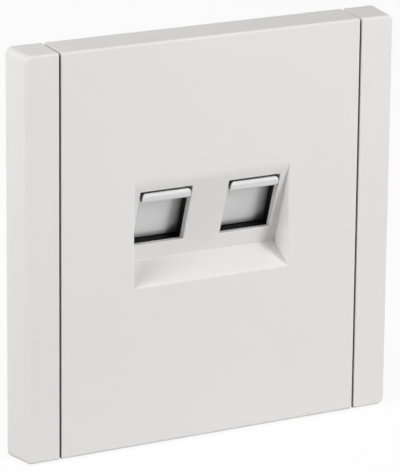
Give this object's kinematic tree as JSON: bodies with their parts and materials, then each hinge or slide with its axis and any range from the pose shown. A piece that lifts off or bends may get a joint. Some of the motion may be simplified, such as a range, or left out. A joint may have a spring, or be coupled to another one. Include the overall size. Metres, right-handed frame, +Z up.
{
  "type": "keystone faceplate",
  "caption": "Square white keystone faceplate with side trims and a slanted recess whose modular ports are closed by sprung sliding dust shutters.",
  "frame": {"origin": "midway between the two fixing slots, on the plane where the plate meets the wall", "axes": "+X to the right seen from the front, +Y into the wall, +Z up the wall"},
  "size_m": [0.086, 0.0217, 0.086],
  "materials": {
    "cover_white": "fine satin moulded polycarbonate, warm white",
    "trim_white": "fine satin moulded polycarbonate, warm white",
    "frame_grey": "plain moulded plastic, dark grey",
    "guide_black": "moulded acetal, black",
    "shutter_white": "smooth moulded plastic, cool light grey white",
    "spring_steel": "drawn spring wire",
    "holder_black": "moulded nylon, black"
  },
  "bodies": {
    "faceplate": {"centre_cover": "cover_white", "side_trim_left": "trim_white", "side_trim_right": "trim_white", "mounting_frame": "frame_grey", "shutter_guide": "guide_black", "shutter_retainer": "guide_black", "jack_holder": "holder_black", "shutter_spring_left": "spring_steel", "shutter_spring_right": "spring_steel"},
    "shutter_left": {"shutter_left": "shutter_white"},
    "shutter_right": {"shutter_right": "shutter_white"}
  },
  "joints": [
    {"name": "shutter_left_slide", "type": "slide", "parent": "faceplate", "child": "shutter_left", "axis": [0, 0.309, -0.9511], "range_m": [0, 0.01005], "stiffness_N_per_m": 60, "springref_m": -0.003, "deforming": ["shutter_spring_left"]},
    {"name": "shutter_right_slide", "type": "slide", "parent": "faceplate", "child": "shutter_right", "axis": [0, 0.309, -0.9511], "range_m": [0, 0.01005], "stiffness_N_per_m": 60, "springref_m": -0.003, "deforming": ["shutter_spring_right"]}
  ]
}
